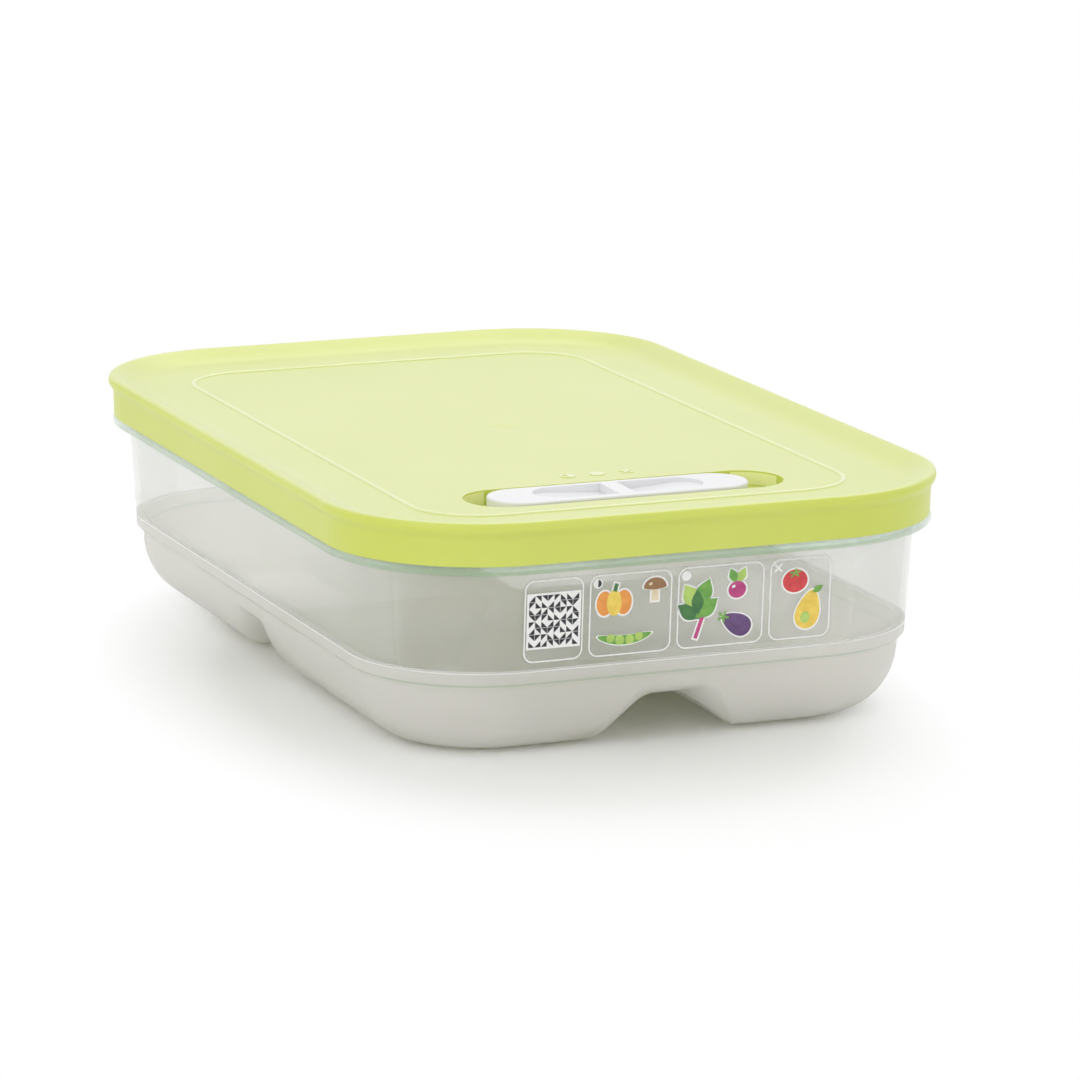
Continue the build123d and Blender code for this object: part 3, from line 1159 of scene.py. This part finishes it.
@dataclass
class Mouldings:
    """The tub, the lid and the vent's pieces, with their finishes."""

    tub: TubPlastic = TubPlastic()
    lid: LidPlastic = LidPlastic(
        name="lid_plastic_finish",
        pale=(0.625, 0.69, 0.135),
        deep=(0.60, 0.665, 0.11),
        smooth=0.34,
        worn=0.40,
        grain_scale=500.0,
        glow=0.3,
        sheen_coat=1.0,
    )
    slider: SolidPlastic = SolidPlastic(
        name="slider_plastic_finish",
        pale=(0.86, 0.86, 0.87),
        deep=(0.82, 0.82, 0.84),
        smooth=0.22,
        worn=0.30,
        grain_scale=700.0,
        grain_depth=0.00001,
    )
    seal: SolidPlastic = SolidPlastic(
        name="seal_rubber_finish",
        pale=(0.62, 0.63, 0.63),
        deep=(0.55, 0.56, 0.56),
        smooth=0.6,
        worn=0.75,
    )
    keeper: SolidPlastic = SolidPlastic(
        name="keeper_plastic_finish",
        pale=(0.82, 0.82, 0.83),
        deep=(0.77, 0.77, 0.79),
        smooth=0.3,
        worn=0.42,
    )

    def build(self) -> None:
        """Dresses each moulding."""
        dress("tub", self.tub.build())
        dress("lid", self.lid.build())
        dress("vent_slider", self.slider.build())
        dress("vent_seal", self.seal.build())
        dress("vent_keeper", self.keeper.build())


# The studio


@dataclass
class Studio:
    """A white floor, soft light from behind on the right and from the left, and the photograph's camera.

    Attributes:
        azimuth: The camera's turn about the keeper in degrees; it stands towards -Y and a little to -X.
        elevation: The camera's angle above the floor in degrees.
        roll: The camera's roll in degrees.
        distance: From the camera to the point that it looks at.
        target: The point that it looks at.
        lens: The lens in millimetres on a 36 mm frame.
        floor_radius: The floor's radius.
        floor_corners: Corners of the round floor.
        floor_pale: The floor's palest tone.
        floor_deep: The floor's deepest tone.
        floor_drift: Scale of the drift between the two, per metre.
        floor_place: The floor's middle, a little towards the camera.
        shade_aspect: Width of the shaded part of the floor against its depth.
        shade_radius: Radius within which the floor keeps its shadows.
        fade_radius: Radius from which the floor is plain white.
        aim: The point that both lights face.
        top_light: The power of the light above, in watts.
        top_place: Where it hangs, behind and on the right.
        top_size: Its width and height.
        side_light: The power of the light on the left, in watts.
        side_place: Where it hangs.
        side_size: Its width and height.
        sky: The strength of the even light from all round.
    """

    azimuth: float = -22.258
    elevation: float = 12.558
    roll: float = 0.267
    distance: float = 1.65517
    target: tuple[float, float, float] = (0.01046, -0.00409, 0.03322)
    lens: float = 175.0
    floor_radius: float = 8.0
    floor_corners: int = 96
    floor_pale: Colour = (0.985, 0.985, 0.985)
    floor_deep: Colour = (0.975, 0.975, 0.975)
    floor_drift: float = 3.0
    floor_place: tuple[float, float, float] = (-0.02, -0.06, 0.0)
    shade_aspect: float = 0.6
    shade_radius: float = 0.135
    fade_radius: float = 0.20
    aim: tuple[float, float, float] = (0.0, 0.0, 0.03)
    top_light: float = 5.0
    top_place: tuple[float, float, float] = (0.7, 0.9, 1.4)
    top_size: Point = (1.4, 1.0)
    side_light: float = 3.0
    side_place: tuple[float, float, float] = (-1.3, -0.8, 0.8)
    side_size: Point = (1.2, 0.8)
    sky: float = 0.90

    def build_camera(self) -> None:
        """Stands the camera where the photograph was taken from."""
        turn, rise = math.radians(self.azimuth), math.radians(self.elevation)
        back = Vector((math.sin(turn) * math.cos(rise), -math.cos(turn) * math.cos(rise), math.sin(rise)))
        right = Vector((0.0, 0.0, 1.0)).cross(back).normalized()
        above = back.cross(right)
        lean = math.radians(self.roll)
        side = math.cos(lean) * right + math.sin(lean) * above
        above = math.cos(lean) * above - math.sin(lean) * right
        data = bpy.data.cameras.new("camera")
        data.lens = self.lens
        data.sensor_width = 36.0
        data.clip_end = 50.0
        camera = bpy.data.objects.new("camera", data)
        bpy.context.scene.collection.objects.link(camera)
        turned = Matrix((side, above, back)).transposed().to_4x4()
        camera.matrix_world = Matrix.Translation(Vector(self.target) + back * self.distance) @ turned
        bpy.context.scene.camera = camera

    def build_floor(self) -> None:
        """Lays the white floor, which is plain white far from the keeper."""
        deselect_all()
        bpy.ops.mesh.primitive_circle_add(
            vertices=self.floor_corners, radius=self.floor_radius, fill_type="NGON", location=self.floor_place
        )
        floor = bpy.context.object
        floor.name = "floor"
        material, graph, shader = start_material("floor_paper")
        shader.inputs["Roughness"].default_value = 0.9
        shader.inputs["Specular IOR Level"].default_value = 0.1
        low, high = (*self.floor_pale, 1.0), (*self.floor_deep, 1.0)
        tone = SharedEffect.TONE_DRIFT.place(graph, Scale=self.floor_drift, Low=low, High=high)
        graph.link(tone, shader.inputs["Base Color"])
        white = graph.add("ShaderNodeEmission")
        white.inputs["Strength"].default_value = 1.0
        place = graph.add("ShaderNodeTexCoord")
        stretch = graph.add("ShaderNodeVectorMath", operation="MULTIPLY")
        stretch.inputs[1].default_value = (1.0 / self.shade_aspect, 1.0, 1.0)
        graph.link(place.outputs["Object"], stretch.inputs[0])
        reach = graph.add("ShaderNodeVectorMath", operation="LENGTH")
        graph.link(stretch.outputs["Vector"], reach.inputs[0])
        fade = graph.spread(reach.outputs["Value"], (self.shade_radius, self.fade_radius), (0.0, 1.0))
        seen = self.seen_directly(graph)
        mask = graph.calculate("MULTIPLY", fade, seen)
        mixed = graph.add("ShaderNodeMixShader")
        graph.link(mask, mixed.inputs["Fac"])
        graph.link(shader.outputs["BSDF"], mixed.inputs[1])
        graph.link(white.outputs["Emission"], mixed.inputs[2])
        output = next(node for node in graph.tree.nodes if node.bl_idname == "ShaderNodeOutputMaterial")
        graph.link(mixed.outputs["Shader"], output.inputs["Surface"])
        floor.data.materials.append(material)
        floor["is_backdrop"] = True

    def seen_directly(self, graph: Graph) -> bpy.types.NodeSocket:
        """Gives a value that is 1 for camera, glossy and transmission rays.

        Args:
            graph: The graph to add to.

        Returns:
            The value's socket.
        """
        path = graph.add("ShaderNodeLightPath")
        glossy = graph.calculate("MAXIMUM", path.outputs["Is Camera Ray"], path.outputs["Is Glossy Ray"])
        return graph.calculate("MAXIMUM", glossy, path.outputs["Is Transmission Ray"])

    def build_world(self) -> None:
        """Makes the white surroundings, plain white where they are seen or reflected."""
        world = bpy.data.worlds.new("studio_world")
        world.use_nodes = True
        graph = Graph(world.node_tree)
        output = graph.add("ShaderNodeOutputWorld")
        sky = graph.add("ShaderNodeBackground")
        seen = self.seen_directly(graph)
        graph.link(graph.spread(seen, (0.0, 1.0), (self.sky, 1.0)), sky.inputs["Strength"])
        sky.inputs["Color"].default_value = (1.0, 1.0, 1.0, 1.0)
        graph.link(sky.outputs["Background"], output.inputs["Surface"])
        bpy.context.scene.world = world

    def build_light(self, name: str, place: Vector, size: Point, power: float) -> None:
        """Hangs one soft rectangular light that faces the keeper.

        Args:
            name: The light's name.
            place: Where it hangs.
            size: Its width and height.
            power: Its power in watts.
        """
        data = bpy.data.lights.new(name, "AREA")
        data.shape = "RECTANGLE"
        data.size, data.size_y = size
        data.energy = power
        light = bpy.data.objects.new(name, data)
        bpy.context.scene.collection.objects.link(light)
        light.location = place
        light.rotation_euler = (Vector(self.aim) - place).to_track_quat("-Z", "Y").to_euler()

    def build(self) -> None:
        """Sets up floor, world, lights and camera."""
        self.build_camera()
        self.build_floor()
        self.build_world()
        self.build_light("top_softbox", Vector(self.top_place), self.top_size, self.top_light)
        self.build_light("side_softbox", Vector(self.side_place), self.side_size, self.side_light)
        bpy.context.scene.view_settings.view_transform = "Standard"


def write_sizes() -> None:
    """Puts the construction's box and the dressed keeper's box into plain lists."""
    boxes = {"cad": cad_box, "visual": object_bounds()}
    plain = {name: [list(map(float, corner)) for corner in box] for name, box in boxes.items()}


def main() -> None:
    """Builds the studio and dresses the keeper, piece by piece."""
    logging.basicConfig(level=logging.INFO, format="%(name)s: %(message)s")
    Studio().build()
    Mouldings().build()
    LabelPrint().build()
    write_sizes()


if __name__ == "__main__":
    main()
